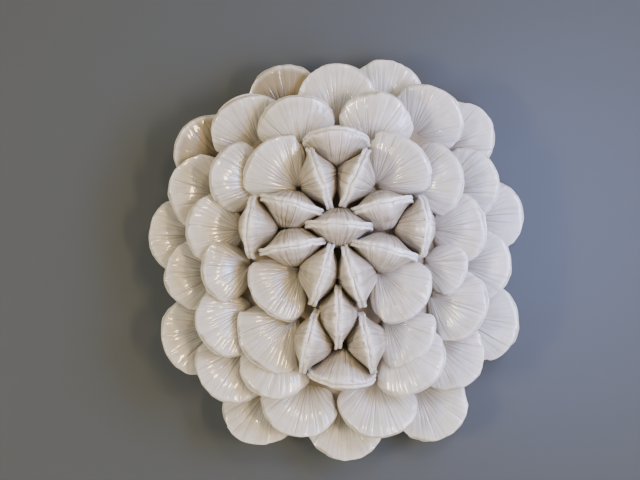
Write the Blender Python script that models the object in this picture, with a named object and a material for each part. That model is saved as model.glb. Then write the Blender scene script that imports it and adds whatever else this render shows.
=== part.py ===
"""Wall cross in hand-built clay, hung flat on a wall.

Sixteen pinched pods stand rim outward and make a Latin cross. Forty folded fans lie round it in four
rings, each ring over the one outside it, and every piece is joined to a low dome of clay. The origin is
the middle of the flat back, +Z is up and the front faces -Y. Lengths are in metres.
"""

import math
from collections import namedtuple
from itertools import product

import bpy
from mathutils import Matrix, Vector
from mathutils.bvhtree import BVHTree

# The dome that carries every piece
DOME_HALF_WIDTH = 0.124
DOME_HALF_HEIGHT = 0.134
DOME_DEPTH = 0.045
DOME_EDGE = 0.014
DOME_SQUARENESS = 2.3
DOME_SHOULDER = 2.2
DOME_FALL = 0.75
DOME_SEGMENTS = 32
DOME_ROWS = (0.35, 0.6, 0.8, 0.93, 1.0)

# The slot in the back that hooks over a screw head
SLOT_WIDTH = 0.040
SLOT_HEIGHT = 0.014
SLOT_DEPTH = 0.012
SLOT_DROP = 0.040

# A fan: a disc of clay folded over, its rim a round arc and its root gathered
FAN_RADIUS = 0.034
FAN_RISE = 0.0125
FAN_FRONT = 0.0085
FAN_BACK = 0.0040
FAN_NECK = 0.018
FAN_SPREAD = math.radians(70.0)
FOLD_IN = math.radians(44.0)

# The innermost fans are narrower quarters that tuck their roots in between the pods
INNER_RADIUS = 0.039
INNER_RISE = 0.006
INNER_NECK = 0.009
INNER_SPREAD = math.radians(54.0)

# A pod: the same folded disc, filled out and stood on its fold
POD_HALF_LENGTH = 0.0285
POD_DEPTH = 0.038
POD_BELLY = 0.0150
POD_NECK = 0.010
POD_PITCH = 0.034
POD_LIFT = 0.002

# Shared by fans and pods
LIP = 0.0036
GAP = 0.0003
RIM_STEPS = 10
NECK_STEPS = 3
FAN_FRONT_ROWS = (0.38, 0.76, 1.0)
FAN_BACK_ROWS = (0.6, 1.0)
POD_ROWS = (0.38, 0.76, 1.0)

# How a piece gives way until it clears those already laid
RAISE_STEP = math.radians(2.0)
LIFT_STEP = 0.001
SLIDE_STEP = 0.002
SHIFT_STEP = 0.001
TURN_STEP = math.radians(3.0)
SQUEEZE_STEP = 0.04
SHRINK_STEP = 0.05

# Each row of a ring: bearing of the root round the dome, its distance out as a share of the dome's
# outline there, how far the fan turns from pointing straight out, its lean from the wall, and its size.
Ring = namedtuple("Ring", "name lift rows")
RINGS = (
    Ring("outer", -0.003, (
        (109, 0.96, -11, 18, 0.97),
        (73, 1.00, 7, 18, 0.95),
        (46, 1.02, -16, 22, 0.95),
        (16, 0.98, -13, 22, 0.95),
        (335, 0.97, 13, 22, 1.00),
        (302, 1.01, 3, 18, 1.00),
        (273, 0.98, -3, 18, 1.00),
        (243, 0.99, 0, 22, 0.99),
        (210, 0.95, -8, 26, 1.05),
        (171, 0.98, 11, 23, 0.98),
        (140, 1.00, 5, 32, 0.97),
    )),
    Ring("second", 0.000, (
        (90, 0.90, 0, 12, 1.01),
        (58, 0.95, -9, 30, 0.97),
        (31, 0.89, -11, 30, 0.92),
        (357, 0.89, 0, 26, 0.90),
        (319, 0.86, -1, 23, 0.94),
        (287, 0.86, -15, 33, 1.02),
        (256, 0.85, -6, 22, 0.98),
        (225, 0.86, 10, 26, 0.99),
        (187, 0.89, 1, 22, 0.88),
        (152, 0.89, 20, 20, 0.97),
        (125, 0.90, -6, 36, 1.00),
    )),
    Ring("third", 0.001, (
        (108, 0.78, -6, 39, 0.98),
        (74, 0.77, 3, 35, 0.95),
        (42, 0.71, -27, 39, 0.93),
        (15, 0.75, -13, 39, 0.90),
        (338, 0.76, 0, 37, 0.93),
        (304, 0.70, 8, 37, 0.98),
        (239, 0.70, 12, 32, 0.92),
        (210, 0.74, 2, 31, 0.90),
        (165, 0.71, 11, 26, 0.88),
        (138, 0.74, 32, 39, 0.90),
    )),
    Ring("inner", 0.002, (
        (122, 0.57, 16, 28, 0.93),
        (61, 0.54, -18, 32, 0.94),
        (356, 0.65, -10, 34, 0.69),
        (310, 0.56, 6, 34, 0.85),
        (342, 0.30, -26, 28, 0.91),
        (232, 0.49, -10, 26, 0.97),
        (201, 0.29, 18, 30, 0.88),
        (186, 0.67, 7, 28, 0.79),
    )),
)

# Each pod: name, root across and up in pitches from the middle of the back, the way its ridge faces,
# its lean from the wall, its length as a share of the full length, and how much fuller its front is.
PODS = (
    ("centre", 0.03, 0.77, 88, 87, 1.00, 0.08),
    ("arm_left_upper", -1.12, 1.26, 76, 86, 0.97, 0.20),
    ("arm_left_lower", -1.08, 0.30, 100, 88, 0.98, 0.00),
    ("arm_left_end", -1.90, 0.77, 176, 80, 0.93, 0.20),
    ("arm_right_upper", 1.09, 1.26, 102, 86, 0.93, 0.20),
    ("arm_right_lower", 1.05, 0.25, 74, 86, 1.04, 0.12),
    ("arm_right_end", 1.85, 0.78, 0, 80, 0.93, 0.20),
    ("head_left", -0.47, 1.95, 19, 88, 0.94, 0.00),
    ("head_right", 0.43, 1.96, 156, 88, 0.94, 0.00),
    ("head_top", -0.05, 2.62, 89, 68, 1.00, 0.25),
    ("shaft_upper_left", -0.43, -0.38, 346, 87, 0.98, 0.12),
    ("shaft_upper_right", 0.41, -0.43, 194, 86, 1.00, 0.15),
    ("shaft_middle", 0.00, -1.44, 0, 90, 0.95, 0.00),
    ("shaft_lower_left", -0.60, -2.07, 167, 85, 0.96, 0.15),
    ("shaft_lower_right", 0.72, -2.10, 12, 90, 0.94, 0.00),
    ("foot", 0.11, -2.78, 268, 76, 0.98, 0.25),
)

Shape = namedtuple("Shape", "radius rise front back spread neck root fullness phase")
Finish = namedtuple("Finish", "name colour roughness")

FAN_GLAZE = Finish("fan_gloss_glaze", (0.62, 0.60, 0.54), 0.18)
POD_CLAY = Finish("pod_satin_clay", (0.66, 0.62, 0.55), 0.50)
DOME_CLAY = Finish("dome_plain_clay", (0.50, 0.46, 0.40), 0.75)


def clear_scene():
    for item in list(bpy.data.objects):
        bpy.data.objects.remove(item, do_unlink=True)


def make_material(finish):
    material = bpy.data.materials.new(finish.name)
    material.use_nodes = True
    shader = material.node_tree.nodes["Principled BSDF"]
    shader.inputs["Base Color"].default_value = (*finish.colour, 1.0)
    shader.inputs["Roughness"].default_value = finish.roughness
    shader.inputs["Metallic"].default_value = 0.0
    return material


def ease(value):
    """Smooth step from 0 to 1."""
    value = max(0.0, min(1.0, value))
    return value * value * (3.0 - 2.0 * value)


def add_object(name, points, faces, material, parent):
    mesh = bpy.data.meshes.new(name)
    mesh.from_pydata(points, [], faces)
    mesh.update()
    mesh.materials.append(material)
    mesh.shade_smooth()
    mesh.set_sharp_from_angle(angle=math.radians(50.0))
    item = bpy.data.objects.new(name, mesh)
    bpy.context.scene.collection.objects.link(item)
    item.parent = parent
    return item


def cut(item, cutter):
    """Take the cutter's shape out of an item."""
    modifier = item.modifiers.new("cut_" + cutter.name, "BOOLEAN")
    modifier.operation = "DIFFERENCE"
    modifier.solver = "EXACT"
    modifier.object = cutter


def hide_cutter(cutter):
    cutter.hide_render = True
    cutter.display_type = "WIRE"


def dome_reach(bearing):
    """Distance from the middle of the dome to its outline."""
    across = abs(math.cos(bearing)) / DOME_HALF_WIDTH
    up = abs(math.sin(bearing)) / DOME_HALF_HEIGHT
    return (across ** DOME_SQUARENESS + up ** DOME_SQUARENESS) ** (-1.0 / DOME_SQUARENESS)


def dome_share(x, z):
    """How far out a point is, from 0 in the middle of the dome to 1 on its outline."""
    across = abs(x) / DOME_HALF_WIDTH
    up = abs(z) / DOME_HALF_HEIGHT
    return (across ** DOME_SQUARENESS + up ** DOME_SQUARENESS) ** (1.0 / DOME_SQUARENESS)


def dome_height(share):
    """Height of the dome above the wall."""
    share = min(share, 1.0)
    return DOME_EDGE + (DOME_DEPTH - DOME_EDGE) * (1.0 - share ** DOME_SHOULDER) ** DOME_FALL


def dome_shell(grow, back):
    """Points and faces of the dome, grown outward all round, with its flat back at the given y."""
    points = [(0.0, -dome_height(0.0) - grow, 0.0)]
    for share in DOME_ROWS:
        for step in range(DOME_SEGMENTS):
            bearing = math.tau * step / DOME_SEGMENTS
            distance = dome_reach(bearing) * share + grow
            x = distance * math.cos(bearing)
            z = distance * math.sin(bearing)
            points.append((x, -dome_height(share) - grow, z))
    for step in range(DOME_SEGMENTS):
        bearing = math.tau * step / DOME_SEGMENTS
        distance = dome_reach(bearing) + grow
        points.append((distance * math.cos(bearing), back, distance * math.sin(bearing)))
    faces = []
    for step in range(DOME_SEGMENTS):
        following = (step + 1) % DOME_SEGMENTS
        faces.append((0, 1 + step, 1 + following))
        for row in range(len(DOME_ROWS)):
            near = 1 + row * DOME_SEGMENTS
            far = near + DOME_SEGMENTS
            faces.append((near + step, far + step, far + following, near + following))
    last = 1 + len(DOME_ROWS) * DOME_SEGMENTS
    faces.append(tuple(reversed(range(last, last + DOME_SEGMENTS))))
    return points, faces


def box_shell(low, high):
    points = [(x, y, z) for x in (low[0], high[0]) for y in (low[1], high[1]) for z in (low[2], high[2])]
    faces = [(0, 1, 3, 2), (4, 6, 7, 5), (0, 4, 5, 1), (2, 3, 7, 6), (0, 2, 6, 4), (1, 5, 7, 3)]
    return points, faces


def outline(shape, angle):
    """Distance from the root to the rim: a round arc that turns in below to the neck."""
    side = shape.rise * math.sin(angle)
    arc = shape.rise * math.cos(angle) + math.sqrt(shape.radius ** 2 - side ** 2)
    wave = 0.012 * math.sin(3.0 * angle + shape.phase) + 0.008 * math.sin(5.0 * angle + 2.0 * shape.phase)
    turned_in = ease((abs(angle) - shape.spread) / FOLD_IN)
    return arc * (1.0 + wave) * (1.0 - turned_in) + shape.neck * turned_in


def thickness(shape, belly, share, angle):
    """Half thickness at a share of the way from root to rim: a belly that thins to the lip."""
    swell = (1.0 - share * share) ** 0.8 * (shape.root + (1.75 - shape.root) * share)
    necked = ease((abs(angle) - math.radians(95.0)) / math.radians(30.0))
    swell = swell * (1.0 - necked) + 0.6 * necked
    sideways = abs(outline(shape, angle) * share * math.sin(angle))
    across = math.cos(0.5 * math.pi * min(1.0, sideways / shape.radius)) ** shape.fullness
    return 0.5 * LIP + (belly - 0.5 * LIP) * swell * across


def rim_angles():
    """Angles round the root, close together on the rim and wide apart on the neck."""
    end = math.radians(112.0)
    arc = [end * (2.0 * step / RIM_STEPS - 1.0) for step in range(RIM_STEPS)]
    rest = math.tau - 2.0 * end
    neck = [end + rest * step / NECK_STEPS for step in range(NECK_STEPS)]
    return arc + [angle if angle <= math.pi else angle - math.tau for angle in neck]


def valve(shape, belly, rows, grow, side):
    """Rings of points of one side of a folded disc, root first."""
    angles = rim_angles()
    rings = [[(0.0, 0.0, side * (thickness(shape, belly, 0.0, 0.0) + grow))]]
    for share in rows:
        ring = []
        for angle in angles:
            distance = outline(shape, angle) * share + grow * share
            height = thickness(shape, belly, share, angle) + grow
            ring.append((distance * math.sin(angle), distance * math.cos(angle), side * height))
        rings.append(ring)
    return rings


def folded_disc(shape, front_rows, back_rows, grow=0.0):
    """Points and faces of a folded disc: root at the origin, rim toward +Y, front toward +Z."""
    front = valve(shape, shape.front, front_rows, grow, 1.0)
    back = valve(shape, shape.back, back_rows, grow, -1.0)
    rings = front + back[::-1]
    points = [point for ring in rings for point in ring]
    count = len(rim_angles())
    faces = []
    starts = [0]
    for ring in rings[:-1]:
        starts.append(starts[-1] + len(ring))
    for row in range(len(rings) - 1):
        near = starts[row]
        far = starts[row + 1]
        for step in range(count):
            following = (step + 1) % count
            if row == 0:
                faces.append((near, far + following, far + step))
            elif row == len(rings) - 2:
                faces.append((near + step, near + following, far))
            else:
                faces.append((near + step, near + following, far + following, far + step))
    return points, faces


def pose(x, z, height, heading, lean):
    """Frame of a piece: +Y runs from root to rim and +Z is its front."""
    away = Vector((math.cos(heading), 0.0, math.sin(heading)))
    out = Vector((0.0, -1.0, 0.0))
    rimward = away * math.cos(lean) + out * math.sin(lean)
    front = out * math.cos(lean) - away * math.sin(lean)
    across = Vector((away.z, 0.0, -away.x))
    matrix = Matrix((across, rimward, front)).transposed().to_4x4()
    matrix.translation = (x, -height, z)
    return matrix


class Pile:
    """The pieces already laid, as far as they show above the dome."""

    def __init__(self):
        self.points = []
        self.faces = []
        self.tree = None

    @staticmethod
    def buried(point):
        share = dome_share(point.x, point.z)
        return share < 1.0 and -point.y < dome_height(share) - GAP

    def shown(self, points, faces):
        hidden = [self.buried(point) for point in points]
        return [face for face in faces if not all(hidden[index] for index in face)]

    def add(self, points, faces):
        start = len(self.points)
        self.points.extend(points)
        self.faces.extend(tuple(start + index for index in face) for face in self.shown(points, faces))
        self.tree = BVHTree.FromPolygons(self.points, self.faces)

    def clears(self, points, faces):
        if max(point.y for point in points) > -GAP:
            return False
        if self.tree is None:
            return True
        return not BVHTree.FromPolygons(points, self.shown(points, faces)).overlap(self.tree)


def pod_shape(length, fuller, squeeze, phase):
    belly = POD_BELLY * (1.0 - squeeze)
    radius = POD_HALF_LENGTH * length * (1.0 - 0.5 * squeeze)
    front = belly * (1.0 + fuller)
    back = belly * (1.0 - fuller)
    return Shape(radius, POD_DEPTH - radius, front, back, FAN_SPREAD, POD_NECK, 0.35, 1.3, phase)


def ways_to_squeeze():
    """Small shifts, lifts, turns and squeezes of a pod, the least first."""
    ways = product(range(-6, 7), range(-6, 7), range(0, 7, 3), range(-1, 2), range(6))

    def effort(way):
        right, raised, lifted, turned, squeezed = way
        return (math.hypot(right, raised) + 0.8 * lifted + abs(turned) + 2.2 * squeezed, way)

    return sorted(ways, key=effort)


def lay_pod(pile, row, phase):
    """Stand a pod on the dome, squeezed in beside those already there as soft clay would be."""
    name, across, up, facing, lean, length, fuller = row
    shells = {}
    for right, raised, lifted, turned, squeezed in ways_to_squeeze():
        if squeezed not in shells:
            shape = pod_shape(length, fuller, SQUEEZE_STEP * squeezed, phase)
            points, faces = folded_disc(shape, POD_ROWS, POD_ROWS, GAP)
            shells[squeezed] = (shape, [Vector(point) for point in points], faces)
        shape, local, faces = shells[squeezed]
        x = across * POD_PITCH + right * SHIFT_STEP
        z = up * POD_PITCH + raised * SHIFT_STEP
        height = dome_height(dome_share(x, z)) + POD_LIFT + lifted * LIFT_STEP
        matrix = pose(x, z, height, math.radians(facing) + turned * TURN_STEP, math.radians(lean))
        if pile.clears([matrix @ point for point in local], faces):
            points, faces = folded_disc(shape, POD_ROWS, POD_ROWS)
            pile.add([matrix @ Vector(point) for point in points], faces)
            return shape, matrix
    raise ValueError("no room for the pod " + name)


def fan_shape(ring, size, phase):
    front = FAN_FRONT * (1.0 + 0.06 * math.sin(2.0 * phase))
    if ring.name == "inner":
        radius = INNER_RADIUS * size
        return Shape(radius, INNER_RISE * size, front, FAN_BACK, INNER_SPREAD, INNER_NECK, 0.55, 0.5, phase)
    radius = FAN_RADIUS * size
    return Shape(radius, FAN_RISE * size, front, FAN_BACK, FAN_SPREAD, FAN_NECK, 0.55, 0.5, phase)


def ways_to_settle():
    """Small changes of lean, height and place, the least first."""
    ways = [(lean, lift, slide) for lean in range(-4, 13) for lift in range(10) for slide in range(13)]
    return sorted(ways, key=lambda way: (abs(way[0] - 0.1) + 0.9 * way[1] + 2.4 * way[2], way))


def lay_fan(pile, ring, row, phase):
    """Lay a fan on the dome so that it clears every piece under it."""
    bearing, share, turn, lean, size = row
    distance = dome_reach(math.radians(bearing)) * share
    x = distance * math.cos(math.radians(bearing))
    z = distance * math.sin(math.radians(bearing))
    height = dome_height(dome_share(x, z)) + ring.lift
    heading = math.radians(bearing + turn)
    for attempt in range(9):
        shape = fan_shape(ring, size * (1.0 - SHRINK_STEP * attempt), phase)
        points, faces = folded_disc(shape, FAN_FRONT_ROWS, FAN_BACK_ROWS, GAP)
        local = [Vector(point) for point in points]
        for raised, lifted, slid in ways_to_settle():
            out = slid * SLIDE_STEP
            matrix = pose(
                x + out * math.cos(heading),
                z + out * math.sin(heading),
                height + lifted * LIFT_STEP,
                heading,
                math.radians(lean) + raised * RAISE_STEP,
            )
            if pile.clears([matrix @ point for point in local], faces):
                points, faces = folded_disc(shape, FAN_FRONT_ROWS, FAN_BACK_ROWS)
                pile.add([matrix @ Vector(point) for point in points], faces)
                return shape, matrix
    raise ValueError("no room for a fan at bearing %s in the %s ring" % (bearing, ring.name))


def build_dome(material, parent):
    points, faces = dome_shell(0.0, 0.0)
    dome = add_object("dome", points, faces, material, parent)
    top = DOME_HALF_HEIGHT - SLOT_DROP
    low = (-0.5 * SLOT_WIDTH, -SLOT_DEPTH, top - SLOT_HEIGHT)
    high = (0.5 * SLOT_WIDTH, SLOT_DEPTH, top)
    points, faces = box_shell(low, high)
    slot = add_object("slot_cutter", points, faces, material, parent)
    hide_cutter(slot)
    cut(dome, slot)
    points, faces = dome_shell(GAP, DOME_EDGE)
    seat = add_object("seat_cutter", points, faces, material, parent)
    hide_cutter(seat)
    return seat


def main():
    clear_scene()
    glaze = make_material(FAN_GLAZE)
    satin = make_material(POD_CLAY)
    plain = make_material(DOME_CLAY)
    parent = bpy.data.objects.new("wall_cross", None)
    bpy.context.scene.collection.objects.link(parent)
    seat = build_dome(plain, parent)
    pile = Pile()
    for index, row in enumerate(PODS):
        shape, matrix = lay_pod(pile, row, 2.4 * index)
        points, faces = folded_disc(shape, POD_ROWS, POD_ROWS)
        pod = add_object("pod_" + row[0], points, faces, satin, parent)
        pod.matrix_basis = matrix
        cut(pod, seat)
    phase = 0.0
    for ring in RINGS:
        for index, row in enumerate(ring.rows):
            phase += 2.4
            shape, matrix = lay_fan(pile, ring, row, phase)
            points, faces = folded_disc(shape, FAN_FRONT_ROWS, FAN_BACK_ROWS)
            fan = add_object("fan_%s_%02d" % (ring.name, index + 1), points, faces, glaze, parent)
            fan.matrix_basis = matrix
            cut(fan, seat)


main()
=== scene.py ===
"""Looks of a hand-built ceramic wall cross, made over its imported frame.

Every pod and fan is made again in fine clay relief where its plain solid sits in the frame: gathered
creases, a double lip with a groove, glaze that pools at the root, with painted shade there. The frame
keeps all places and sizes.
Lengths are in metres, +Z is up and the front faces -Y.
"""

import math
from collections import namedtuple
from functools import partial
from itertools import product

import bpy
import numpy as np
from mathutils import Matrix, Vector
from mathutils.kdtree import KDTree


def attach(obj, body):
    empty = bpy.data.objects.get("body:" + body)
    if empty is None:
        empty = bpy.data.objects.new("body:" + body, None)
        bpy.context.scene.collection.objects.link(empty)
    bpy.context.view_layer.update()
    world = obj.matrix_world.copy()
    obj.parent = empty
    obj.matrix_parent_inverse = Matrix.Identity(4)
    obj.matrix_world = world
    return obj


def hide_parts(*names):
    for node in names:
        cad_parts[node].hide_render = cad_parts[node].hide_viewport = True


MM = 0.001

# The photograph: its size in pixels, the size of one pixel at the wall, where the work's middle falls in
# it, how far the camera stood from the wall, and the width of its sensor in millimetres
PHOTO_WIDTH = 640
PHOTO_HEIGHT = 480
PIXEL_AT_WALL = 0.89 * MM
MIDDLE_ACROSS = 337
MIDDLE_DOWN = 257
CAMERA_DISTANCE = 1.0
SENSOR_WIDTH = 36.0

# The dome, as in the part's source
DOME_HALF_WIDTH = 0.124
DOME_HALF_HEIGHT = 0.134
DOME_DEPTH = 0.045
DOME_EDGE = 0.014
DOME_SQUARENESS = 2.3
DOME_SHOULDER = 2.2
DOME_FALL = 0.75

# Fans and pods, as in the part's source
FAN_RADIUS = 0.034
FAN_RISE = 0.0125
FAN_FRONT = 0.0085
FAN_BACK = 0.0040
FAN_NECK = 0.018
FAN_SPREAD = math.radians(70.0)
FOLD_IN = math.radians(44.0)
INNER_RADIUS = 0.039
INNER_RISE = 0.006
INNER_NECK = 0.009
INNER_SPREAD = math.radians(54.0)
POD_HALF_LENGTH = 0.0285
POD_DEPTH = 0.038
POD_BELLY = 0.0150
POD_NECK = 0.010
POD_PITCH = 0.034
POD_LIFT = 0.002
LIP = 0.0036
RIM_END = math.radians(112.0)
RIM_STEPS = 10
ROOT_FULLNESS = {"fan": 0.55, "pod": 0.35}
POD_TAPER = 1.3
PHASE_STEP = 2.4

# How far a piece may have given way as it was laid, as in the part's source: the size of one step, and
# which steps were open to a fan (up from the wall, lifted, slid) and to a pod (across, up, lifted, turned).
# Then the steps along its rim that a piece is found by in the frame, and how near they have to fall.
RAISE_STEP = math.radians(2.0)
LIFT_STEP = 0.001
SLIDE_STEP = 0.002
SHIFT_STEP = 0.001
TURN_STEP = math.radians(3.0)
SQUEEZE_STEP = 0.04
SHRINK_STEP = 0.05
SHRINKS = 9
FAN_MOVES = (range(-4, 13), range(10), range(13))
SQUEEZES = 6
POD_MOVES = (range(-6, 7), range(-6, 7), range(0, 7, 3), range(-1, 2))
MARK_STEPS = (5, 2, 8)
FIT_TOLERANCE = 0.05 * MM

# How finely the relief is modelled: columns round a rim and its neck, rows from root to rim, and how the
# rows crowd toward the rim
ARC_COLUMNS = 96
NECK_COLUMNS = 16
FRONT_ROWS = 19
BACK_ROWS = 5
ROW_SPACING = 0.85

# How a fan's sides roll down from its face: the radius of the roll and how far a side runs back and falls,
# as shares of the side's length, and the tilt that it ends at
ROLL = 0.14
ROLL_END = math.radians(82.0)
SIDE_BACK = 0.75
SIDE_FALL = 0.10

# Where a fan's creases are gathered, as shares of its radius: behind the solid's root, below the face, and
# how much further back and down the closed neck ends. The roots of the seated rings can be seen, so they
# lie on the dome, just above its surface.
ROOT_BACK = {"outer": 0.26, "second": 0.28, "third": 0.38, "inner": 0.28}
ROOT_DROP = 0.16
STEM = 0.12
SEATED_RINGS = ("third", "inner")
ROOT_ABOVE = 1.0 * MM

# The relief stays this far in front of the wall, under the clay of the dome's back
BACK_COVER = 1.0 * MM

# Soft clay folds round its corners: how far the rounding spreads, the step it is worked out in, and how
# many steps it takes in either way
CORNER = 3.2 * MM
CORNER_STEP = 1.0 * MM
CORNER_REACH = 10

# How full a fan's face is beside its plain solid, and how much of its relief its back keeps
FACE_FULLNESS = 0.74
BACK_RELIEF = 0.4

# How soft pods fill the room between them: their fullness, base and ends when they meet nothing, the steps
# that they fill out in, how near another pod may stand and still be met, and the gap left between two
POD_FILL = 1.10
POD_BASE = 0.85
POD_ENDS = 0.95
FILL_STEPS = 6
MEETING_REACH = 2.4 * POD_PITCH
CLEARANCE = 0.15 * MM

# The double lip, in shares of one lip's thickness: how thick a piece stays where its lips begin, and its
# outline from the front lip over the groove to the back lip, each step's way out and level. The groove
# gapes by its own uneven amount.
LIP_SEAT = 0.9
GROOVE = None
LIP_PROFILE = (
    (0.05, 0.86),
    (0.12, 0.58),
    (0.08, 0.24),
    (GROOVE, 0.03),
    (0.04, -0.24),
    (0.12, -0.58),
    (0.05, -0.86),
)

# Where the finish changes, as shares of the way from root to rim: glaze pools up to the first, with
# painted shade at the root, the clay turns uneven past the second, and the lip's paler colour, partly a
# painted highlight, starts at the third. A pole, at the root, takes the crease tint and the pool with its
# painted shade, and has no lip.
POOL_AND_SHADE_END = 0.55
UNEVEN_START = 0.55
EDGE_START = 0.93
POLE_FINISH = (0.8, 1.0, 0.0)

# Seeds of the chance in each piece, counted on from these, what is added for the lips, and how far apart
# two pieces lie in the patterns, so that no two match
POD_SEED = 101
FAN_SEED = 201
LIP_SEED = 13
CLAY_SHIFT = 0.11
GATHER_SHIFT = 3.7

# The patterns in clay and glaze, by the size of one cell of the noise that draws each: clouds in the
# glaze, iron specks that come out about half a cell wide, grain of the clay, patches of slip, and grog
CLOUD_CELL = 12.5 * MM
SPECK_CELL = 5.0 / 7.0 * MM
GRAIN_CELL = 25.0 / 13.0 * MM
SLIP_CELL = 25.0 * MM
GROG_CELL = 5.0 / 6.0 * MM

# Each row of a ring: bearing of the root round the dome, its distance out as a share of the dome's
# outline there, how far the fan turns from pointing straight out, its lean from the wall, and its size.
Ring = namedtuple("Ring", "name lift rows")
RINGS = (
    Ring("outer", -0.003, (
        (109, 0.96, -11, 18, 0.97),
        (73, 1.00, 7, 18, 0.95),
        (46, 1.02, -16, 22, 0.95),
        (16, 0.98, -13, 22, 0.95),
        (335, 0.97, 13, 22, 1.00),
        (302, 1.01, 3, 18, 1.00),
        (273, 0.98, -3, 18, 1.00),
        (243, 0.99, 0, 22, 0.99),
        (210, 0.95, -8, 26, 1.05),
        (171, 0.98, 11, 23, 0.98),
        (140, 1.00, 5, 32, 0.97),
    )),
    Ring("second", 0.000, (
        (90, 0.90, 0, 12, 1.01),
        (58, 0.95, -9, 30, 0.97),
        (31, 0.89, -11, 30, 0.92),
        (357, 0.89, 0, 26, 0.90),
        (319, 0.86, -1, 23, 0.94),
        (287, 0.86, -15, 33, 1.02),
        (256, 0.85, -6, 22, 0.98),
        (225, 0.86, 10, 26, 0.99),
        (187, 0.89, 1, 22, 0.88),
        (152, 0.89, 20, 20, 0.97),
        (125, 0.90, -6, 36, 1.00),
    )),
    Ring("third", 0.001, (
        (108, 0.78, -6, 39, 0.98),
        (74, 0.77, 3, 35, 0.95),
        (42, 0.71, -27, 39, 0.93),
        (15, 0.75, -13, 39, 0.90),
        (338, 0.76, 0, 37, 0.93),
        (304, 0.70, 8, 37, 0.98),
        (239, 0.70, 12, 32, 0.92),
        (210, 0.74, 2, 31, 0.90),
        (165, 0.71, 11, 26, 0.88),
        (138, 0.74, 32, 39, 0.90),
    )),
    Ring("inner", 0.002, (
        (122, 0.57, 16, 28, 0.93),
        (61, 0.54, -18, 32, 0.94),
        (356, 0.65, -10, 34, 0.69),
        (310, 0.56, 6, 34, 0.85),
        (342, 0.30, -26, 28, 0.91),
        (232, 0.49, -10, 26, 0.97),
        (201, 0.29, 18, 30, 0.88),
        (186, 0.67, 7, 28, 0.79),
    )),
)

# Each pod: name, root across and up in pitches from the middle of the back, the way its ridge faces,
# its lean from the wall, its length as a share of the full length, and how much fuller its front is.
PODS = (
    ("centre", 0.03, 0.77, 88, 87, 1.00, 0.08),
    ("arm_left_upper", -1.12, 1.26, 76, 86, 0.97, 0.20),
    ("arm_left_lower", -1.08, 0.30, 100, 88, 0.98, 0.00),
    ("arm_left_end", -1.90, 0.77, 176, 80, 0.93, 0.20),
    ("arm_right_upper", 1.09, 1.26, 102, 86, 0.93, 0.20),
    ("arm_right_lower", 1.05, 0.25, 74, 86, 1.04, 0.12),
    ("arm_right_end", 1.85, 0.78, 0, 80, 0.93, 0.20),
    ("head_left", -0.47, 1.95, 19, 88, 0.94, 0.00),
    ("head_right", 0.43, 1.96, 156, 88, 0.94, 0.00),
    ("head_top", -0.05, 2.62, 89, 68, 1.00, 0.25),
    ("shaft_upper_left", -0.43, -0.38, 346, 87, 0.98, 0.12),
    ("shaft_upper_right", 0.41, -0.43, 194, 86, 1.00, 0.15),
    ("shaft_middle", 0.00, -1.44, 0, 90, 0.95, 0.00),
    ("shaft_lower_left", -0.60, -2.07, 167, 85, 0.96, 0.15),
    ("shaft_lower_right", 0.72, -2.10, 12, 90, 0.94, 0.00),
    ("foot", 0.11, -2.78, 268, 76, 0.98, 0.25),
)

Shape = namedtuple("Shape", "radius rise front back spread neck root phase")

# How a kind of piece was worked by hand: how many creases, how deep they are and how wide at the rim, how
# far the clay puffs up between them, how far out they run as shares of the way to the rim, how thick one
# lip is, and how torn the lips are.
Working = namedtuple("Working", "creases depth width puff ends lip torn")
FAN_WORKING = Working(29, 0.62 * MM, 0.55 * MM, 0.20 * MM, (0.55, 1.25), 2.8 * MM, 1.0)
POD_WORKING = Working(49, 1.00 * MM, 0.70 * MM, 0.35 * MM, (0.60, 1.60), 3.2 * MM, 1.4)

# How far some fans are tinted all over toward the pool colour, darker and more olive
OLIVE_TINTED_FANS = {
    "fan_outer_01": 1.00,
    "fan_outer_11": 0.95,
    "fan_second_10": 0.15,
    "fan_second_11": 0.15,
    "fan_third_01": 0.12,
    "fan_third_03": 0.16,
    "fan_third_04": 0.18,
    "fan_third_05": 0.16,
    "fan_third_10": 0.20,
    "fan_inner_01": 0.12,
    "fan_inner_02": 0.22,
    "fan_inner_03": 0.20,
    "fan_inner_04": 0.20,
    "fan_inner_05": 0.24,
    "fan_inner_06": 0.16,
    "fan_inner_07": 0.30,
    "fan_inner_08": 0.20,
}

# The stage: how far the wall lies behind the work, how high and how far to each side it goes, how far
# below the middle of the work the floor is, and how far it goes
WALL_BEHIND = 0.5 * MM
WALL_TOP = 2.5
WALL_SIDE = 3.0
FLOOR_BELOW = 0.9
FLOOR_SIDE = 4.0


def ease(value):
    """Smooth step from 0 to 1."""
    value = np.clip(value, 0.0, 1.0)
    return value * value * (3.0 - 2.0 * value)


def dome_reach(bearing):
    """Distance from the middle of the dome to its outline."""
    across = abs(math.cos(bearing)) / DOME_HALF_WIDTH
    up = abs(math.sin(bearing)) / DOME_HALF_HEIGHT
    return (across ** DOME_SQUARENESS + up ** DOME_SQUARENESS) ** (-1.0 / DOME_SQUARENESS)


def dome_share(x, z):
    """How far out a point is, from 0 in the middle of the dome to 1 on its outline."""
    across = abs(x) / DOME_HALF_WIDTH
    up = abs(z) / DOME_HALF_HEIGHT
    return (across ** DOME_SQUARENESS + up ** DOME_SQUARENESS) ** (1.0 / DOME_SQUARENESS)


def dome_height(share):
    """Height of the dome above the wall."""
    share = min(share, 1.0)
    return DOME_EDGE + (DOME_DEPTH - DOME_EDGE) * (1.0 - share ** DOME_SHOULDER) ** DOME_FALL


def outline(shape, angle):
    """Distance from the root to the rim: a round arc that turns in below to the neck."""
    side = shape.rise * np.sin(angle)
    arc = shape.rise * np.cos(angle) + np.sqrt(shape.radius ** 2 - side ** 2)
    wave = 0.012 * np.sin(3.0 * angle + shape.phase) + 0.008 * np.sin(5.0 * angle + 2.0 * shape.phase)
    turned_in = ease((np.abs(angle) - shape.spread) / FOLD_IN)
    return arc * (1.0 + wave) * (1.0 - turned_in) + shape.neck * turned_in


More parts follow.
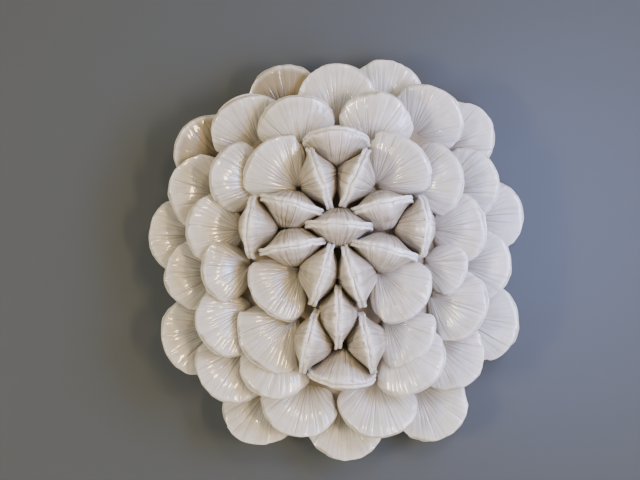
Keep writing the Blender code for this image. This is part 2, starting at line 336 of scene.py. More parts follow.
def thickness(shape, belly, share, angle):
    """Half thickness of a pod's plain solid at a share of the way from root to rim."""
    swell = (1.0 - share * share) ** 0.8 * (shape.root + (1.75 - shape.root) * share)
    necked = ease((np.abs(angle) - math.radians(95.0)) / math.radians(30.0))
    swell = swell * (1.0 - necked) + 0.6 * necked
    sideways = np.abs(outline(shape, angle) * share * np.sin(angle))
    across = np.cos(0.5 * math.pi * np.minimum(1.0, sideways / shape.radius)) ** POD_TAPER
    return 0.5 * LIP + (belly - 0.5 * LIP) * swell * across


def pose(x, z, height, heading, lean):
    """Frame of a piece: +Y runs from root to rim and +Z is its front."""
    away = Vector((math.cos(heading), 0.0, math.sin(heading)))
    out = Vector((0.0, -1.0, 0.0))
    rimward = away * math.cos(lean) + out * math.sin(lean)
    front = out * math.cos(lean) - away * math.sin(lean)
    across = Vector((away.z, 0.0, -away.x))
    matrix = Matrix((across, rimward, front)).transposed().to_4x4()
    matrix.translation = (x, -height, z)
    return matrix


def fan_shape(ring, size, phase):
    front = FAN_FRONT * (1.0 + 0.06 * math.sin(2.0 * phase))
    if ring.name == "inner":
        radius, rise, spread, neck = INNER_RADIUS, INNER_RISE, INNER_SPREAD, INNER_NECK
    else:
        radius, rise, spread, neck = FAN_RADIUS, FAN_RISE, FAN_SPREAD, FAN_NECK
    root = ROOT_FULLNESS["fan"]
    return Shape(radius * size, rise * size, front, FAN_BACK, spread, neck, root, phase)


def fan_places(ring, row, phase):
    """Every shape and place that a fan may have settled into."""
    bearing, share, turn, lean, size = row
    distance = dome_reach(math.radians(bearing)) * share
    x = distance * math.cos(math.radians(bearing))
    z = distance * math.sin(math.radians(bearing))
    height = dome_height(dome_share(x, z)) + ring.lift
    heading = math.radians(bearing + turn)
    for shrunk in range(SHRINKS):
        shape = fan_shape(ring, size * (1.0 - SHRINK_STEP * shrunk), phase)
        for raised, lifted, slid in product(*FAN_MOVES):
            out = slid * SLIDE_STEP
            yield shape, pose(
                x + out * math.cos(heading),
                z + out * math.sin(heading),
                height + lifted * LIFT_STEP,
                heading,
                math.radians(lean) + raised * RAISE_STEP,
            )


def pod_shape(length, fuller, squeeze, phase):
    belly = POD_BELLY * (1.0 - squeeze)
    radius = POD_HALF_LENGTH * length * (1.0 - 0.5 * squeeze)
    front = belly * (1.0 + fuller)
    back = belly * (1.0 - fuller)
    root = ROOT_FULLNESS["pod"]
    return Shape(radius, POD_DEPTH - radius, front, back, FAN_SPREAD, POD_NECK, root, phase)


def pod_places(row, phase):
    """Every shape and place that a pod may have been squeezed into."""
    across, up, facing, lean, length, fuller = row[1:]
    for squeezed in range(SQUEEZES):
        shape = pod_shape(length, fuller, SQUEEZE_STEP * squeezed, phase)
        for right, raised, lifted, turned in product(*POD_MOVES):
            x = across * POD_PITCH + right * SHIFT_STEP
            z = up * POD_PITCH + raised * SHIFT_STEP
            height = dome_height(dome_share(x, z)) + POD_LIFT + lifted * LIFT_STEP
            heading = math.radians(facing) + turned * TURN_STEP
            yield shape, pose(x, z, height, heading, math.radians(lean))


def place_in_frame(node, places):
    """The shape and place whose rim falls on the corners of the plain solid in the frame."""
    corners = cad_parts[node].data.vertices
    tree = KDTree(len(corners))
    for index, corner in enumerate(corners):
        tree.insert(corner.co, index)
    tree.balance()
    marks = {}
    for shape, matrix in places:
        if shape not in marks:
            angles = [RIM_END * (2.0 * step / RIM_STEPS - 1.0) for step in MARK_STEPS]
            far = [float(outline(shape, angle)) for angle in angles]
            marks[shape] = [
                Vector((reach * math.sin(angle), reach * math.cos(angle), 0.5 * LIP))
                for reach, angle in zip(far, angles)
            ]
        if all(tree.find(matrix @ mark)[2] < FIT_TOLERANCE for mark in marks[shape]):
            return shape, matrix
    raise ValueError("the frame's solid " + node + " has moved from its layout")


def spaced(low, high, count, chance, uneven):
    """Angles spaced unevenly from low to high."""
    step = (high - low) / (count - 1)
    return np.linspace(low, high, count) + chance.uniform(-uneven, uneven, count) * step


class Gathers:
    """Creases that run from the root toward the rim, and the columns of points that follow them."""

    def __init__(self, working, reach, seed):
        chance = np.random.default_rng(seed)
        count = working.creases + int(chance.integers(-2, 3))
        self.places = np.sort(spaced(-RIM_END * 0.95, RIM_END * 0.95, count, chance, 0.36))
        self.depths = working.depth * chance.uniform(0.3, 1.0, count) ** 1.3
        self.widths = working.width / reach * chance.uniform(0.6, 1.2, count)
        self.ends = chance.uniform(*working.ends, count)
        self.bends = chance.uniform(-0.08, 0.08, count)
        self.puff = working.puff * chance.uniform(0.6, 2.2)
        self.deepest = working.depth
        even = np.linspace(-RIM_END, RIM_END, ARC_COLUMNS, endpoint=False)
        beside = self.widths[:, None] * np.array([-1.5, -0.75, 0.0, 0.75, 1.5])[None, :]
        near = (self.places[:, None] + beside).ravel()
        clear = np.min(np.abs(even[:, None] - self.places[None, :]) / self.widths[None, :], axis=1) > 1.9
        arc = np.sort(np.concatenate([even[clear], near]))
        arc = arc[(arc >= -RIM_END) & (arc < RIM_END)]
        neck = np.linspace(RIM_END, math.tau - RIM_END, NECK_COLUMNS, endpoint=False)
        self.columns = np.concatenate([arc, np.where(neck > math.pi, neck - math.tau, neck)])
        self.drift = np.interp(self.columns, self.places, self.bends)
        self.drift *= np.clip((RIM_END - np.abs(self.columns)) / 0.3, 0.0, 1.0)

    def relief(self, share):
        """Height of the relief at each share and column, and how deep in a crease it lies from 0 to 1."""
        height = np.zeros((len(share), len(self.columns)))
        inside = np.zeros_like(height)
        for place, depth, width, end in zip(self.places, self.depths, self.widths, self.ends):
            groove = np.exp(-(((self.columns - place) / width) ** 2))[None, :]
            fade = np.clip(1.0 - (share / end) ** 3, 0.0, 1.0)[:, None]
            height -= depth * groove * fade
            inside = np.maximum(inside, groove * fade * (depth / self.deepest) ** 0.7)
        slot = np.clip(np.searchsorted(self.places, self.columns) - 1, 0, len(self.places) - 2)
        wide = self.places[slot + 1] - self.places[slot]
        along = np.clip((self.columns - self.places[slot]) / wide, 0.0, 1.0)
        arch = (np.sin(math.pi * along) ** 0.8 * np.minimum(wide / 0.22, 1.5))[None, :]
        return height + self.puff * arch * (share[:, None] ** 0.6), inside


def rounded(path):
    """A closed path of points with its corners rounded off."""
    closed = np.concatenate([path, path[:1]])
    along = np.concatenate([[0.0], np.cumsum(np.linalg.norm(np.diff(closed, axis=0), axis=1))])
    even = np.arange(0.0, along[-1], CORNER_STEP)
    fine = np.stack([np.interp(even, along, closed[:, axis]) for axis in range(3)], axis=-1)
    offsets = np.arange(-CORNER_REACH, CORNER_REACH + 1)
    weights = np.exp(-0.5 * (offsets * CORNER_STEP / CORNER) ** 2)
    weights /= weights.sum()
    soft = sum(weight * np.roll(fine, offset, axis=0) for offset, weight in zip(offsets, weights))
    return np.stack([np.interp(along[:-1], even, soft[:, axis]) for axis in range(3)], axis=-1)


def fan_body(shape, columns, root):
    """Rim and outward tilt of a fan's middle surface: a face, and sides that roll down beside it."""
    face = shape.spread
    hand = np.where(columns < 0.0, -1.0, 1.0)
    angle = np.minimum(np.abs(columns), face)
    reach = outline(shape, angle * hand)
    x = reach * np.sin(angle)
    y = reach * np.cos(angle)
    corner = outline(shape, face * hand)
    side = np.stack([-corner * math.sin(face), root[1] - corner * math.cos(face)])
    length = np.hypot(*side)
    side = side / length
    out = np.stack([-side[1], side[0]])
    wing = np.clip((np.abs(columns) - face) / (RIM_END - face), 0.0, 1.0)
    tilt = ROLL_END * ease(wing / 0.55)
    radius = ROLL * length
    fall = radius * (1.0 - np.cos(tilt)) + SIDE_FALL * length * wing
    along = SIDE_BACK * wing * length
    x = x + side[0] * along + out[0] * radius * np.sin(tilt)
    y = y + side[1] * along + out[1] * radius * np.sin(tilt)
    behind = np.clip((np.abs(columns) - RIM_END) / (math.pi - RIM_END), 0.0, 1.0)
    x = x * np.cos(0.5 * math.pi * behind)
    y = y + (root[1] - STEM * shape.radius - y) * np.sin(0.5 * math.pi * behind) ** 2
    fall = fall + STEM * shape.radius * behind
    swing = np.arctan2(out[0], out[1])
    swing = swing + (math.pi - swing) * behind
    aside = np.sin(tilt) * np.sin(swing) * hand
    lean = np.stack([aside, np.sin(tilt) * np.cos(swing), np.cos(tilt)], axis=-1)
    return rounded(np.stack([x * hand, y, -fall], axis=-1)), lean


def pod_body(shape, columns):
    """Rim and tilt of the flat middle surface of a pod."""
    reach = outline(shape, columns)
    rim = np.stack([reach * np.sin(columns), reach * np.cos(columns), np.zeros_like(columns)], axis=-1)
    return rim, np.broadcast_to(np.array([0.0, 0.0, 1.0]), rim.shape)


def pod_height(shape, belly, share, angle, fill):
    """Half thickness of a pod, from its plain solid at fill 0 to its full form at 1."""
    plain = thickness(shape, belly, share, angle)
    base = POD_BASE + (1.25 - POD_BASE) * np.sin(math.pi * np.minimum(share, 0.5))
    tent = (1.0 - share ** 1.7) ** 0.9 * base
    sideways = np.abs(outline(shape, angle) * share * np.sin(angle))
    across = np.cos(0.5 * math.pi * np.minimum(1.0, sideways / (shape.radius * 1.02))) ** POD_ENDS
    full = 0.5 * LIP + (belly * POD_FILL - 0.5 * LIP) * tent * across
    return plain * (1.0 - fill) + np.maximum(plain, full) * fill


def inside_pod(points, shape, matrix, fill):
    """Which points lie inside a pod at this fill, or all but touch it."""
    near = (points - np.array(matrix.translation)) @ np.array(matrix.to_3x3())
    angle = np.arctan2(near[..., 0], near[..., 1])
    share = np.hypot(near[..., 0], near[..., 1]) / outline(shape, angle)
    belly = np.where(near[..., 2] > 0.0, shape.front, shape.back)
    depth = pod_height(shape, belly, np.minimum(share, 1.0), angle, fill)
    return (share < 1.0) & (np.abs(near[..., 2]) < depth + CLEARANCE)


def fill_out(index, laid, share, columns, side):
    """How far each point of a pod can fill out before it meets a neighbour that fills out with it."""
    shape, matrix = laid[index]
    angle = columns[None, :]
    along = share[:, None]
    reach = outline(shape, angle) * along
    belly = shape.front if side > 0.0 else shape.back
    filled = np.zeros(reach.shape)
    free = np.ones(reach.shape, dtype=bool)
    turn = np.array(matrix.to_3x3()).T
    for step in range(1, FILL_STEPS + 1):
        fill = step / FILL_STEPS
        height = side * pod_height(shape, belly, along, angle, fill)
        local = np.stack([reach * np.sin(angle), reach * np.cos(angle), height], axis=-1)
        points = local @ turn + np.array(matrix.translation)
        for other, (other_shape, other_matrix) in enumerate(laid):
            far = (other_matrix.translation - matrix.translation).length
            if other != index and far < MEETING_REACH:
                free[free] = ~inside_pod(points[free], other_shape, other_matrix, fill)
        filled[free] = fill
    for _ in range(3):
        padded = np.pad(filled, ((1, 1), (0, 0)), mode="edge")
        filled = (padded[:-2] + 2.0 * padded[1:-1] + padded[2:]) / 4.0
        filled = (np.roll(filled, 1, axis=1) + 2.0 * filled + np.roll(filled, -1, axis=1)) / 4.0
    return filled


def fan_swell(share, root):
    """Height of a fan's face as a share of its fullness: up from the root, then gently down to the lip."""
    rise = root + (1.0 - root) * np.sin(0.5 * math.pi * np.minimum(share / 0.62, 1.0))
    fall = np.clip((share - 0.5) / 0.5, 0.0, 1.0) ** 2.4
    return rise * (1.0 - fall)


def rough(angle, chance, step, scale):
    """Uneven amounts along the rim, between knots that are evenly spaced by angle."""
    knots = np.arange(-math.pi, math.pi + step, step)
    return scale * np.interp(angle, knots, chance.normal(0.0, 1.0, len(knots)))


def wander(angle, turns, scale):
    """A small uneven wave round the rim, as pinching leaves."""
    waves = np.sin(7.0 * angle + turns[0]) + 0.6 * np.sin(13.0 * angle + turns[1])
    return scale * (waves + 0.4 * np.sin(23.0 * angle + turns[2]))


def swung(points, shift):
    """Points turned a little round the piece's origin, in the plane of the piece."""
    x = points[..., 0] * np.cos(shift) + points[..., 1] * np.sin(shift)
    y = points[..., 1] * np.cos(shift) - points[..., 0] * np.sin(shift)
    return np.stack([x, y, points[..., 2]], axis=-1)


def valve(shape, working, side, gathers, rim, lean, root, turns, fill):
    """One side of a piece, root to rim: its rings of points, how creased they are, and their shares."""
    angle = gathers.columns
    belly = shape.front if side > 0.0 else shape.back
    is_fan = fill is None
    hidden = is_fan and side < 0.0
    quiet = BACK_RELIEF if hidden else 1.0
    share = np.linspace(0.0, 1.0, (BACK_ROWS if hidden else FRONT_ROWS) + 1)[1:] ** ROW_SPACING
    relief, inside = gathers.relief(share)
    seat = LIP_SEAT * working.lip
    if is_fan:
        swell = np.repeat(fan_swell(share, shape.root)[:, None], len(angle), axis=1)
        swell = seat + (belly * FACE_FULLNESS - seat) * swell
    else:
        swell = pod_height(shape, belly, share[:, None], angle[None, :], fill(share, angle, side))
        pull = ease((share - 0.7) / 0.3)[:, None]
        swell = swell * (1.0 - pull) + np.maximum(swell, seat) * pull
    slow = np.sin(2.0 * angle + turns[4])[None, :] * np.sin(2.8 * share + turns[5])[:, None]
    broad = np.cos(5.0 * angle + turns[6])[None, :] * (share * (1.0 - share) * 4.0)[:, None]
    height = swell + quiet * relief + 0.45 * MM * slow * (1.0 - share)[:, None] + 0.3 * MM * broad
    flat = root + share[:, None, None] * (rim - root)[None, :, :]
    flat = swung(flat, gathers.drift[None, :] * (share[:, None] - 0.3))
    return flat + side * height[..., None] * lean[None, :, :], inside * quiet, share


def double_lip(working, angle, rim, lean, outward, turns, chance):
    """Rings of points over both lips and the groove between them, and how dark the groove is painted, as
    painted shade in it.
    """
    lip = working.lip
    torn = working.torn
    gape = lip * (0.16 + 0.08 * np.sin(4.0 * angle + turns[3]) + rough(angle, chance, 0.09, 0.07 * torn))
    uneven = 0.10 * lip * (np.sin(3.0 * angle + turns[10]) + 0.7 * np.sin(8.0 * angle + turns[11]))
    pinched = [rough(angle, chance, 0.08, 0.07 * lip * torn) for _ in range(2)]
    split = rough(angle, chance, 0.12, 0.08 * torn)
    rings = []
    creases = []
    for out, level in LIP_PROFILE:
        if out is GROOVE:
            far = -gape
            # Painted shade in the groove between the lips
            creases.append(np.clip(0.75 + 3.0 * split, 0.2, 1.0))
        else:
            far = out * lip + math.copysign(1.0, level) * uneven + pinched[level < 0.0]
            creases.append(np.zeros(len(angle)))
        height = (level + split * (1.0 - abs(level)))[:, None] * lip * lean
        rings.append(rim + far[:, None] * outward + height)
    return np.array(rings), np.array(creases)


def pinched_disc(shape, working, seed, root, fill):
    """Rings of points, front pole to back pole, the finish of each point, and its angle and share."""
    chance = np.random.default_rng(seed + LIP_SEED)
    turns = chance.uniform(0.0, math.tau, 12)
    gathers = Gathers(working, shape.radius + shape.rise, seed)
    angle = gathers.columns
    rim, lean = fan_body(shape, angle, root) if fill is None else pod_body(shape, angle)
    front = valve(shape, working, 1.0, gathers, rim, lean, root, turns, fill)
    back = valve(shape, working, -1.0, gathers, rim, lean, root, turns, fill)
    rim = swung(rim, gathers.drift * 0.7)
    outward = rim - root
    outward /= np.linalg.norm(outward, axis=-1)[:, None]
    lips, groove_shade = double_lip(working, angle, rim, lean, outward, turns, chance)
    rings = np.concatenate([front[0], lips, back[0][::-1]])
    # The crease tint: glaze gathered in the creases, and painted shade in them and in the groove between
    # the lips
    crease = np.concatenate([front[1], groove_shade, back[1][::-1]])
    shares = np.concatenate([front[2], np.ones(len(lips)), back[2][::-1]])
    near_rim = np.clip((shares - UNEVEN_START) / (1.0 - UNEVEN_START), 0.0, 1.0)[:, None] ** 2
    rings += (near_rim * wander(angle, turns[:3], 0.30 * MM)[None, :])[..., None] * lean[None]
    rings += (near_rim * wander(angle, turns[7:10], 0.20 * MM)[None, :])[..., None] * outward[None]
    # The pool share: glaze pooled toward the root, and painted shade at the root
    pool = np.clip(1.0 - shares / POOL_AND_SHADE_END, 0.0, 1.0)
    # The lip share: paler glaze on the lip, partly a painted highlight on the ridge
    edge = np.clip((shares - EDGE_START) / (1.0 - EDGE_START), 0.0, 1.0)
    finish = np.stack(np.broadcast_arrays(crease, pool[:, None], edge[:, None]), axis=-1)
    polar = np.stack(np.broadcast_arrays(angle[None, :], shares[:, None]), axis=-1)
    return rings, finish, polar


def grid_faces(rows, columns):
    """Faces of rings joined in turn, closed at both ends by a pole."""
    faces = []
    first = 1
    last = 1 + rows * columns
    for column in range(columns):
        following = (column + 1) % columns
        faces.append((0, first + following, first + column))
        end = first + (rows - 1) * columns
        faces.append((end + column, end + following, last))
    start = np.arange(rows - 1)[:, None] * columns + first
    here = start + np.arange(columns)[None, :]
    beside = start + (np.arange(columns)[None, :] + 1) % columns
    quads = np.stack([here, beside, beside + columns, here + columns], axis=-1).reshape(-1, 4)
    return faces + quads.tolist()


def store(mesh, name, kind, field, values):
    """Keeps a value for each point of a mesh, for its material to read."""
    attribute = mesh.attributes.new(name, kind, "POINT")
    attribute.data.foreach_set(field, np.ascontiguousarray(values, dtype=np.float32).ravel())


def clay_piece(node, material, place, working, seed, root=(0.0, 0.0, 0.0), fill=None, thin=0.0):
    """One pod or fan in fine relief, in place of its plain solid."""
    shape, matrix = place
    rings, finish, polar = pinched_disc(shape, working, seed, np.array(root), fill)
    rows, columns = polar.shape[:2]
    poles = np.array([rings[0].mean(axis=0), rings[-1].mean(axis=0)])
    local = np.concatenate([poles[:1], rings.reshape(-1, 3), poles[1:]])
    turn = np.array(matrix.to_3x3())
    points = local @ turn.T + np.array(matrix.translation)
    points[:, 1] = np.minimum(points[:, 1], -BACK_COVER)
    mesh = bpy.data.meshes.new(node + "_clay")
    mesh.from_pydata(points.tolist(), [], grid_faces(rows, columns))
    mesh.update()
    mesh.shade_smooth()
    gather = np.zeros((len(points), 3))
    gather[1:-1, :2] = polar.reshape(-1, 2)
    gather[:, 2] = GATHER_SHIFT * seed
    finish = np.vstack([POLE_FINISH, finish.reshape(-1, 3), POLE_FINISH])
    # The finish holds the crease tint (glaze gathered, and painted shade in creases and groove), the pool
    # (glaze pooled, and painted shade at the root) and the lip tint (partly a painted highlight)
    store(mesh, "finish", "FLOAT_VECTOR", "vector", finish)
    store(mesh, "gather", "FLOAT_VECTOR", "vector", gather)
    store(mesh, "clay", "FLOAT_VECTOR", "vector", local + CLAY_SHIFT * seed)
    # How far the whole piece is tinted toward the pool colour
    store(mesh, "thin", "FLOAT", "value", np.full(len(points), thin))
    mesh.materials.append(material)
    piece = bpy.data.objects.new(node + "_clay", mesh)
    bpy.context.scene.collection.objects.link(piece)
    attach(piece, "root")
    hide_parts(node)


def colour(code):
    """An sRGB hex colour as linear red, green and blue."""
    parts = [int(code[start:start + 2], 16) / 255.0 for start in (1, 3, 5)]
    linear = [part / 12.92 if part <= 0.04045 else ((part + 0.055) / 1.055) ** 2.4 for part in parts]
    return (*linear, 1.0)


def add_node(tree, kind, settings=None, values=None, links=None):
    """Adds a node with its settings, its input values and the sockets that feed it."""
    item = tree.nodes.new(kind)
    for name, value in (settings or {}).items():
        setattr(item, name, value)
    for name, value in (values or {}).items():
        item.inputs[name].default_value = value
    for name, source in (links or {}).items():
        tree.links.new(source, item.inputs[name])
    return item


def new_material(name):
    material = bpy.data.materials.new(name)
    material.use_nodes = True
    tree = material.node_tree
    tree.nodes.clear()
    return material, tree


# A glaze: its colours on the body, in cooler clouds, in a crease (glaze gathered there and painted shade),
# where it pools at the root (with painted shade there) and on the lip (partly a painted highlight), how it
# shines, how strongly a crease is tinted, and the strength of the fine gather lines at root and rim.
Glaze = namedtuple(
    "Glaze", "name body cool crease pool lip roughness coat coat_roughness crease_share lines bump"
)

# Clear gloss glaze over off-white stoneware, poured in a light coat: it shines like glass, runs off the
# high places to a paler lip that is partly a painted highlight, and gathers grey-brown in the creases and
# olive at the root; both tints are also painted shade.
FAN_GLOSS = Glaze(
    name="clear_gloss_glaze_on_white_stoneware",
    body="#d3cdbb",
    cool="#dcdad1",
    crease="#5f5441",
    pool="#9c9074",
    lip="#e4e0d6",
    roughness=0.30,
    coat=1.0,
    coat_roughness=0.04,
    crease_share=0.88,
    lines=(0.46, 0.20),
    bump=0.30,
)

# The same clay under a wiped, half-matte glaze: a soft sheen, grey-brown flanks that darken to the root
# with pooled glaze and painted shade, pale lips that are partly a painted highlight, and a dark fold
# between them that is painted shade.
POD_SATIN = Glaze(
    name="satin_wiped_glaze_on_white_stoneware",
    body="#aba088",
    cool="#c9c2b3",
    crease="#5f5342",
    pool="#75664e",
    lip="#f0ede5",
    roughness=0.46,
    coat=0.65,
    coat_roughness=0.22,
    crease_share=0.75,
    lines=(0.60, 0.26),
    bump=0.45,
)


def glazed_clay(glaze):
    """Glaze over gathered clay, tinted by crease, root and lip, with fine gather lines in between. The
    crease, root and line tints are partly painted shade, the lip tint partly a painted highlight.
    """
    material, tree = new_material(glaze.name)
    finish, clay, gather, thin = (
        add_node(tree, "ShaderNodeAttribute", {"attribute_name": name}).outputs
        for name in ("finish", "clay", "gather", "thin")
    )
    crease, pool, lip = add_node(tree, "ShaderNodeSeparateXYZ", links={0: finish["Vector"]}).outputs
    outward = add_node(tree, "ShaderNodeSeparateXYZ", links={0: gather["Vector"]}).outputs[1]
    # Fine gather lines are about 1.3 mm apart half way out, or 3 degrees round the root
    stretched = add_node(
        tree,
        "ShaderNodeVectorMath",
        {"operation": "MULTIPLY"},
        {1: (19.0, 1.6, 1.0)},
        {0: gather["Vector"]},
    ).outputs[0]
    # The lines, the clouds in the glaze, the iron specks under it, and the grain of the clay
    lines, clouds, specks, grain = (
        add_node(
            tree,
            "ShaderNodeTexNoise",
            values={"Scale": scale, "Detail": detail, "Roughness": roughness},
            links={"Vector": place},
        ).outputs[0]
        for place, scale, detail, roughness in (
            (stretched, 1.0, 3.0, 0.6),
            (clay["Vector"], 1.0 / CLOUD_CELL, 4.0, 0.55),
            (clay["Vector"], 1.0 / SPECK_CELL, 1.0, 0.5),
            (clay["Vector"], 1.0 / GRAIN_CELL, 3.0, 0.5),
        )
    )
    line_share, line_strength, cloud_share, speck_share = (
        add_node(
            tree,
            "ShaderNodeMapRange",
            values={"From Min": low, "From Max": high, "To Min": at_low, "To Max": at_high},
            links={"Value": value},
        ).outputs[0]
        for value, low, high, at_low, at_high in (
            (lines, 0.36, 0.50, 1.0, 0.0),
            (outward, 0.0, 0.9, *glaze.lines),
            (clouds, 0.35, 0.65, 0.0, 1.0),
            (specks, 0.72, 0.78, 0.0, 0.35),
        )
    )
    # The fine gather lines take the crease colour too: painted shade in fine creases that are also in the
    # bump
    fine = add_node(
        tree, "ShaderNodeMath", {"operation": "MULTIPLY"}, links={0: line_share, 1: line_strength}
    ).outputs[0]
    pool_and_shade_share, lip_and_highlight_share, deep, rise = (
        add_node(tree, "ShaderNodeMath", {"operation": "MULTIPLY"}, {1: strength}, {0: value}).outputs[0]
        for value, strength in ((pool, 0.5), (lip, 0.85), (crease, glaze.crease_share), (grain, 0.25))
    )
    crease_share = add_node(
        tree, "ShaderNodeMath", {"operation": "MAXIMUM"}, links={0: deep, 1: fine}
    ).outputs[0]
    height = add_node(
        tree, "ShaderNodeMath", {"operation": "SUBTRACT"}, links={0: rise, 1: fine}
    ).outputs[0]
    # Each colour lies over the last. A mix takes its share at input 0 and the colours at 6 and 7.
    tint = add_node(
        tree,
        "ShaderNodeMix",
        {"data_type": "RGBA"},
        {6: colour(glaze.body), 7: colour(glaze.cool)},
        {0: cloud_share},
    ).outputs[2]
    # Over the body: the olive tint of whole fans, the pool with its painted shade at the root, the paler
    # lip that is partly a painted highlight, the crease tint with painted shade in creases, groove and fine
    # lines, and the iron specks
    for share, code in (
        (thin["Fac"], glaze.pool),
        (pool_and_shade_share, glaze.pool),
        (lip_and_highlight_share, glaze.lip),
        (crease_share, glaze.crease),
        (speck_share, glaze.crease),
    ):
        tint = add_node(
            tree, "ShaderNodeMix", {"data_type": "RGBA"}, {7: colour(code)}, {0: share, 6: tint}
        ).outputs[2]
    bump = add_node(
        tree,
        "ShaderNodeBump",
        values={"Strength": glaze.bump, "Distance": 0.4 * MM},
        links={"Height": height},
    ).outputs[0]
    shader = add_node(
        tree,
        "ShaderNodeBsdfPrincipled",
        values={
            "Roughness": glaze.roughness,
            "IOR": 1.5,
            "Coat Weight": glaze.coat,
            "Coat Roughness": glaze.coat_roughness,
            "Coat IOR": 1.6,
        },
        links={"Base Color": tint, "Normal": bump},
    )
    add_node(tree, "ShaderNodeOutputMaterial", links={"Surface": shader.outputs[0]})
    return material


def plain_clay():
    """Bare fired stoneware: dry and sandy, in patches where a wash of slip was wiped on. Its dark tan is
    painted shade for the gaps between pieces, where the dome shows from the front.
    """
    material, tree = new_material("bare_stoneware_with_painted_shade")
    place = add_node(tree, "ShaderNodeTexCoord").outputs["Object"]
    slip, grog = (
        add_node(
            tree,
            "ShaderNodeTexNoise",
            values={"Scale": 1.0 / cell, "Detail": detail},
            links={"Vector": place},
        ).outputs[0]
        for cell, detail in ((SLIP_CELL, 5.0), (GROG_CELL, 2.0))
    )
    slip_share = add_node(
        tree, "ShaderNodeMapRange", values={"From Min": 0.35, "From Max": 0.65}, links={"Value": slip}
    ).outputs[0]
    # The dark tan of the dome is painted shade for the gaps between the pieces
    tint = add_node(
        tree,
        "ShaderNodeMix",
        {"data_type": "RGBA"},
        {6: colour("#8a7f6a"), 7: colour("#a0947d")},
        {0: slip_share},
    ).outputs[2]
    bump = add_node(
        tree, "ShaderNodeBump", values={"Strength": 0.4, "Distance": 0.3 * MM}, links={"Height": grog}
    ).outputs[0]
    shader = add_node(
        tree,
        "ShaderNodeBsdfPrincipled",
        values={"Roughness": 0.85, "IOR": 1.5},
        links={"Base Color": tint, "Normal": bump},
    )
    add_node(tree, "ShaderNodeOutputMaterial", links={"Surface": shader.outputs[0]})
    return material


def build_pods(material):
    laid = [
        place_in_frame("pod_" + row[0], pod_places(row, PHASE_STEP * index))
        for index, row in enumerate(PODS)
    ]
    for index, row in enumerate(PODS):
        fill = partial(fill_out, index, laid)
        seed = POD_SEED + index
        clay_piece("pod_" + row[0], material, laid[index], POD_WORKING, seed, fill=fill)


def fan_root(ring, shape, matrix):
    """Where a fan's creases meet: behind its solid's root, and on the dome where the root can be seen."""
    back = -ROOT_BACK[ring.name] * shape.radius
    if ring.name not in SEATED_RINGS:
        return (0.0, back, -ROOT_DROP * shape.radius)
    seen = matrix @ Vector((0.0, back, 0.0))
    seen.y = -dome_height(dome_share(seen.x, seen.z)) - ROOT_ABOVE
    return tuple(matrix.inverted() @ seen)


def build_fans(material):
    phase = 0.0
    seed = FAN_SEED
    for ring in RINGS:
        for index, row in enumerate(ring.rows):
            phase += PHASE_STEP
            node = "fan_%s_%02d" % (ring.name, index + 1)
            place = place_in_frame(node, fan_places(ring, row, phase))
            root = fan_root(ring, *place)
            thin = OLIVE_TINTED_FANS.get(node, 0.0)
            clay_piece(node, material, place, FAN_WORKING, seed, root, thin=thin)
            seed += 1


def finish_dome(material):
    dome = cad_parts["dome"]
    dome.data.materials.clear()
    dome.data.materials.append(material)


def area_light(name, power, code, size, place, target):
    """A lamp of this power in watts, colour, width and height, aimed from its place at a target."""
    data = bpy.data.lights.new(name, "AREA")
    data.shape = "RECTANGLE"
    data.size = size[0]
    data.size_y = size[1]
    data.energy = power
    data.color = colour(code)[:3]
    lamp = bpy.data.objects.new(name, data)
    lamp.location = place
    lamp.rotation_euler = (Vector(target) - Vector(place)).to_track_quat("-Z", "Y").to_euler()
    bpy.context.scene.collection.objects.link(lamp)


def light_studio():
    """Cool light of a window and the sky, warm lamps in front, and the glow of a pale room."""
    middle = (0.0, 0.0, 0.0)
    area_light("window_right", 43.0, "#cad6fb", (1.1, 1.4), (1.9, -1.2, 0.45), middle)
    area_light("sky_right", 0.6, "#94a6ff", (0.25, 0.40), (0.46, -0.27, 0.14), (0.12, 0.0, 0.0))
    area_light("sky_near", 1.25, "#98aeff", (0.08, 0.26), (0.20, -0.24, 0.03), (0.15, 0.0, 0.0))
    area_light("lamp_right", 15.0, "#ffdcb0", (0.14, 0.62), (1.00, -1.37, -0.15), middle)
    area_light("lamp_left", 14.5, "#ffe9c6", (0.16, 0.42), (-1.27, -1.06, -0.20), middle)
    area_light("sky_left", 2.0, "#c4d6ff", (0.20, 0.34), (-0.78, -1.14, 0.08), (0.14, 0.0, 0.0))
    area_light("lamp_high", 6.5, "#ffdca8", (0.22, 0.16), (0.45, -1.35, 0.85), middle)
    area_light("soft_back", 14.0, "#ffffff", (1.6, 1.6), (0.4, 2.2, 0.8), middle)
    world = bpy.data.worlds.new("studio")
    world.use_nodes = True
    background = world.node_tree.nodes["Background"]
    background.inputs["Color"].default_value = colour("#d5ceb8")
    background.inputs["Strength"].default_value = 0.52
    bpy.context.scene.world = world


def stage_plane(name, corners, material):
    mesh = bpy.data.meshes.new(name)
    mesh.from_pydata(corners, [], [(0, 1, 2, 3)])
    mesh.materials.append(material)
    item = bpy.data.objects.new(name, mesh)
    bpy.context.scene.collection.objects.link(item)
    return item


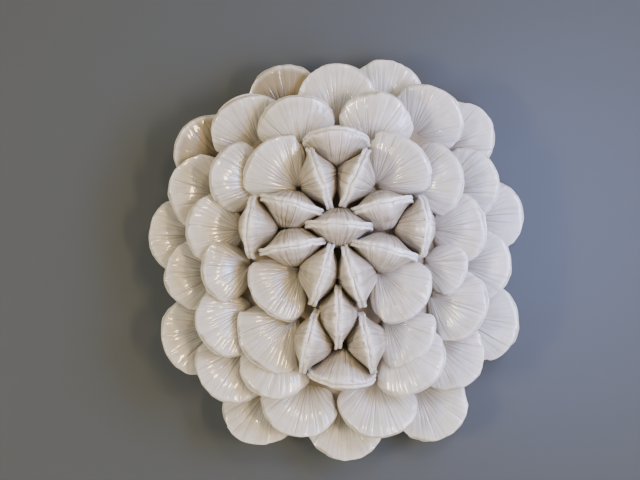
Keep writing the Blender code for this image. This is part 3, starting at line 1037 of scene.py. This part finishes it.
def build_stage():
    """A plain wall that only shows from the front, and a plain pale floor below it."""
    # Matt grey wall paint: it takes the light softly and evenly, with no glint
    material, tree = new_material("matt_grey_paint")
    shader = add_node(
        tree, "ShaderNodeBsdfPrincipled", values={"Base Color": colour("#4b5154"), "Roughness": 0.9}
    )
    clear = add_node(tree, "ShaderNodeBsdfTransparent")
    behind = add_node(tree, "ShaderNodeNewGeometry").outputs["Backfacing"]
    mix = add_node(
        tree, "ShaderNodeMixShader", links={0: behind, 1: shader.outputs[0], 2: clear.outputs[0]}
    )
    add_node(tree, "ShaderNodeOutputMaterial", links={"Surface": mix.outputs[0]})
    corners = [
        (side * WALL_SIDE, WALL_BEHIND, up)
        for side, up in ((-1.0, -FLOOR_BELOW), (1.0, -FLOOR_BELOW), (1.0, WALL_TOP), (-1.0, WALL_TOP))
    ]
    wall = stage_plane("wall", corners, material)
    wall.visible_shadow = False
    wall.visible_diffuse = False
    wall.visible_glossy = False
    # Pale floor paint with a faint sheen: a light ground to see the work against from above
    pale, tree = new_material("pale_floor_paint")
    shader = add_node(
        tree, "ShaderNodeBsdfPrincipled", values={"Base Color": colour("#c9c7c2"), "Roughness": 0.8}
    )
    add_node(tree, "ShaderNodeOutputMaterial", links={"Surface": shader.outputs[0]})
    corners = [
        (side * FLOOR_SIDE, ahead * FLOOR_SIDE, -FLOOR_BELOW)
        for side, ahead in ((-1.0, -1.0), (1.0, -1.0), (1.0, 1.0), (-1.0, 1.0))
    ]
    stage_plane("floor", corners, pale)


def place_camera():
    """Straight in front of the wall, as the photograph was taken."""
    data = bpy.data.cameras.new("photo_camera")
    data.sensor_width = SENSOR_WIDTH
    data.lens = SENSOR_WIDTH * CAMERA_DISTANCE / (PHOTO_WIDTH * PIXEL_AT_WALL)
    camera = bpy.data.objects.new("photo_camera", data)
    across = (0.5 * PHOTO_WIDTH - MIDDLE_ACROSS) * PIXEL_AT_WALL
    up = (MIDDLE_DOWN - 0.5 * PHOTO_HEIGHT) * PIXEL_AT_WALL
    camera.location = (across, -CAMERA_DISTANCE, up)
    camera.rotation_euler = (math.radians(90.0), 0.0, 0.0)
    bpy.context.scene.collection.objects.link(camera)
    bpy.context.scene.camera = camera


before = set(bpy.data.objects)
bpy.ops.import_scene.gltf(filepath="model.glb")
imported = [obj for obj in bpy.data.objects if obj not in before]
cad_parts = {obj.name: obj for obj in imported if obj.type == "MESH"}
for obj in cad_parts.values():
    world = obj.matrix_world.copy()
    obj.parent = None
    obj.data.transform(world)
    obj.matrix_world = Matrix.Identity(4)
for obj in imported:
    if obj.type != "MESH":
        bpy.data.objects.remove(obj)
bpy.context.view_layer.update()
place_camera()
build_pods(glazed_clay(POD_SATIN))
build_fans(glazed_clay(FAN_GLOSS))
finish_dome(plain_clay())
light_studio()
build_stage()
